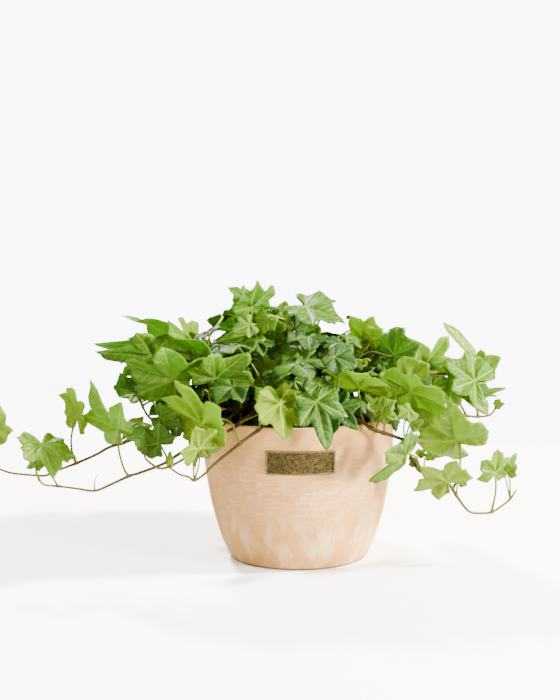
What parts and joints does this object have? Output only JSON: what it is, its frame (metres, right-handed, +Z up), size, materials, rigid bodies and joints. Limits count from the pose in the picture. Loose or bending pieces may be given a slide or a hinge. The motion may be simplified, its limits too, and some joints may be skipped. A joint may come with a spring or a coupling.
{
  "type": "potted plant",
  "caption": "Trailing english ivy with lobed leaves in a tapered round planter with a rounded lip and a bare brass name plate.",
  "frame": {"origin": "centre of the pot's flat underside, on the pot's axis", "axes": "+Z up along the pot's axis, -Y to the front with the name plate, +X to the right seen from the front"},
  "size_m": [0.4277, 0.2523, 0.2275],
  "materials": {
    "pot": "matte peach with brushed pale marbling",
    "soil": "dark crumbly potting soil",
    "name_plate": "antique stippled brass with a raised border",
    "ivy": "waxy green leaves with pale veins, brown-green stems"
  },
  "bodies": {
    "root": {"pot": "pot", "soil": "soil", "name_plate": "name_plate", "stem_left_long": "ivy", "stem_left_low": "ivy", "stem_left_thin": "ivy", "stem_front_left": "ivy", "stem_left_mid": "ivy", "stem_upper_left": "ivy", "stem_top": "ivy", "stem_top_right": "ivy", "stem_crown": "ivy", "stem_front_mid": "ivy", "stem_front_right": "ivy", "stem_right_back": "ivy", "stem_right_upper": "ivy", "stem_right_short": "ivy", "stem_right_low": "ivy", "stem_back_left": "ivy", "stem_back_mid": "ivy", "stem_back_right": "ivy"}
  },
  "joints": []
}
